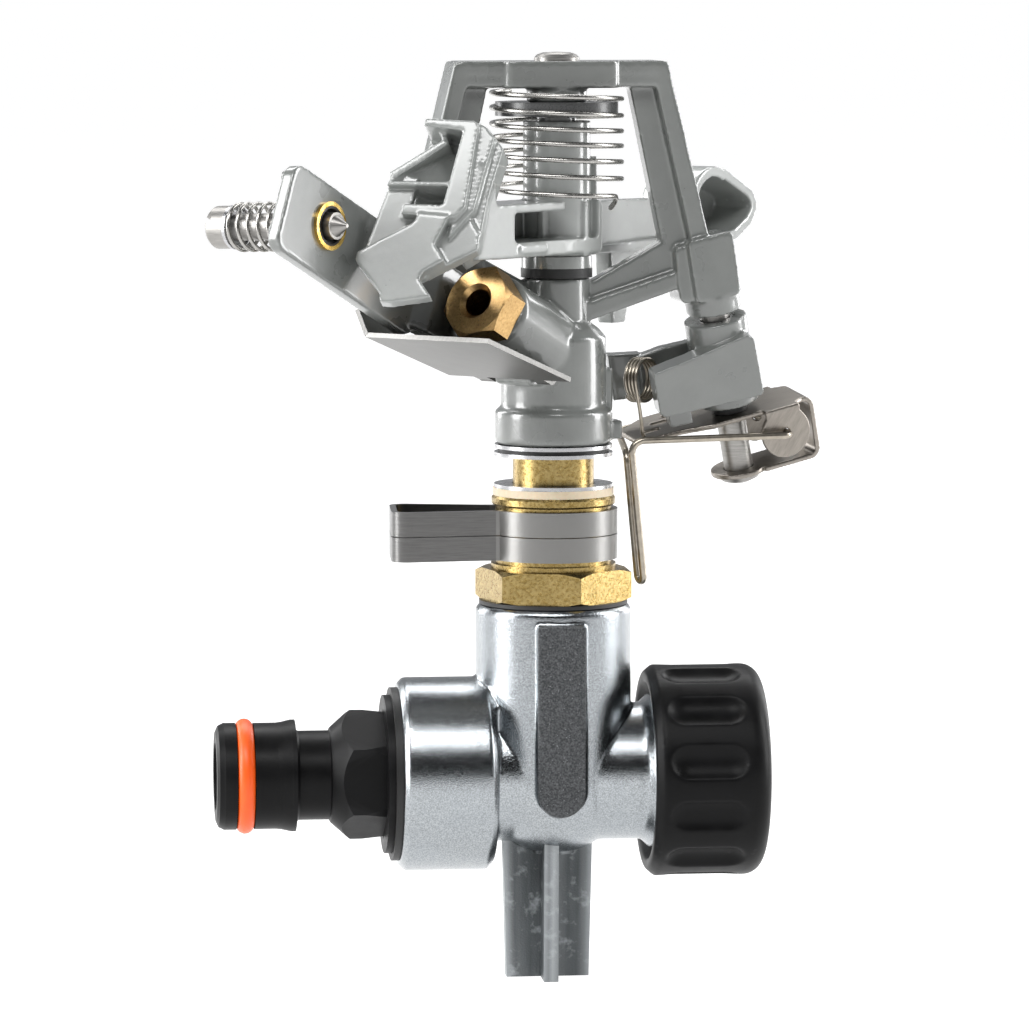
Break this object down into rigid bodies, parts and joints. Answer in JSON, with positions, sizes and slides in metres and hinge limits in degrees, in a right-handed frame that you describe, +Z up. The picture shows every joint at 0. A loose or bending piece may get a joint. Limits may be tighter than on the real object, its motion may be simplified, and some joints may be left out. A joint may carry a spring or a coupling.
{
  "type": "impulse sprinkler",
  "caption": "Part-circle impulse sprinkler: spring-loaded arm and bridge head on a zinc tee base with hose nipple, screw cap, stop collars and ground spike.",
  "frame": {"origin": "soil line under the base casting on the vertical turning axis of the head, where the spike meets the casting", "axes": "+Z up along the turning axis, -X out of the hose inlet, +X out of the capped outlet, -Y the front side with the long rib"},
  "size_m": [0.1006, 0.0795, 0.3283],
  "materials": {
    "zinc": "bright zinc plated die casting, slightly grainy",
    "spike_metal": "raw cast zinc, matt",
    "black_plastic": "moulded black plastic, satin",
    "orange_rubber": "soft orange sealing rubber",
    "black_rubber": "black sealing rubber",
    "brass": "machined brass",
    "nylon": "beige bearing nylon",
    "steel": "stainless steel sheet and washers",
    "spring_steel": "polished spring wire",
    "grey_paint": "semi-gloss grey lacquer on die casting",
    "dark_plastic": "dark grey plastic",
    "pin_steel": "turned steel pins and screw"
  },
  "bodies": {
    "base": {"base_casting": "zinc", "ground_spike": "spike_metal", "hose_nipple": "black_plastic", "nipple_oring": "orange_rubber", "nipple_washer": "black_rubber", "bearing_nipple": "brass", "nipple_seal": "black_rubber", "nylon_washer": "nylon", "steel_washer_lower": "steel"},
    "cap_seal": {"end_cap_seal": "black_rubber"},
    "cap": {"end_cap": "black_plastic"},
    "stop_upper": {"collar_upper": "steel"},
    "stop_lower": {"collar_lower": "steel"},
    "head": {"head_body": "grey_paint", "bearing_tube": "brass", "tube_seal": "black_rubber", "steel_washers_upper": "steel", "dust_seal": "black_rubber", "fulcrum_pin": "pin_steel", "nozzle": "brass", "spring_seat": "dark_plastic", "arm_spring": "spring_steel", "hub_washer": "black_rubber", "diffuser_bush": "brass", "flap_pin": "pin_steel", "trip_pin": "pin_steel", "pawl_bush": "black_rubber"},
    "screw": {"diffuser_screw": "pin_steel", "diffuser_washer": "steel", "diffuser_spring": "spring_steel"},
    "flap": {"deflector_flap": "steel"},
    "arm": {"drive_arm": "grey_paint", "arm_bushing": "grey_paint"},
    "trip": {"trip_plate": "steel"},
    "pawl": {"pawl": "grey_paint", "trip_spring": "spring_steel"},
    "wire": {"trip_wire": "spring_steel"}
  },
  "joints": [
    {"name": "head_spin", "type": "hinge", "parent": "base", "child": "head", "pos_m": [0, 0, 0.06], "axis": [0, 0, 1], "range_deg": [-140, 140]},
    {"name": "collar_upper_turn", "type": "hinge", "parent": "base", "child": "stop_upper", "pos_m": [0, 0, 0.0537], "axis": [0, 0, 1], "range_deg": [-120, 120]},
    {"name": "collar_lower_turn", "type": "hinge", "parent": "base", "child": "stop_lower", "pos_m": [0, 0, 0.0497], "axis": [0, 0, 1], "range_deg": [-120, 120]},
    {"name": "arm_swing", "type": "hinge", "parent": "head", "child": "arm", "pos_m": [0.0005, 0.00005, 0.105], "axis": [0, 0, 1], "range_deg": [0, 85], "stiffness_Nm_per_rad": 0.02, "springref_deg": -34.38},
    {"name": "trip_swing", "type": "hinge", "parent": "head", "child": "trip", "pos_m": [0.02945, 0.00625, 0.06976], "axis": [-0.1844, -0.2048, 0.9613], "range_deg": [0, 10]},
    {"name": "pawl_flip", "type": "hinge", "parent": "head", "child": "pawl", "pos_m": [0.02779, 0.00441, 0.07841], "axis": [-0.1844, -0.2048, 0.9613], "range_deg": [-20, 0]},
    {"name": "wire_fold", "type": "hinge", "parent": "trip", "child": "wire", "pos_m": [0.03629, 0.00847, 0.06811], "axis": [0.2729, -0.9502, -0.1501], "range_deg": [0, 80]},
    {"name": "diffuser_adjust", "type": "slide", "parent": "head", "child": "screw", "axis": [0.7543, -0.6554, 0.038], "range_m": [-0.003, 0.008], "deforming": ["diffuser_spring"]},
    {"name": "flap_tilt", "type": "hinge", "parent": "head", "child": "flap", "pos_m": [-0.0066, -0.00783, 0.0775], "axis": [0.7431, -0.6691, 0], "range_deg": [0, 45]},
    {"name": "cap_unscrew", "type": "slide", "parent": "base", "child": "cap_seal", "axis": [1, 0, 0], "range_m": [0, 0.012]},
    {"name": "cap_turn", "type": "hinge", "parent": "cap_seal", "child": "cap", "pos_m": [0.0252, 0, 0.013], "axis": [1, 0, 0], "range_deg": [-2500, 0]}
  ],
  "couplings": [
    {"joint": "pawl_flip", "follows": "trip_swing", "ratio": -2},
    {"joint": "cap_turn", "follows": "cap_unscrew", "rad_per_m": -3463.7}
  ]
}
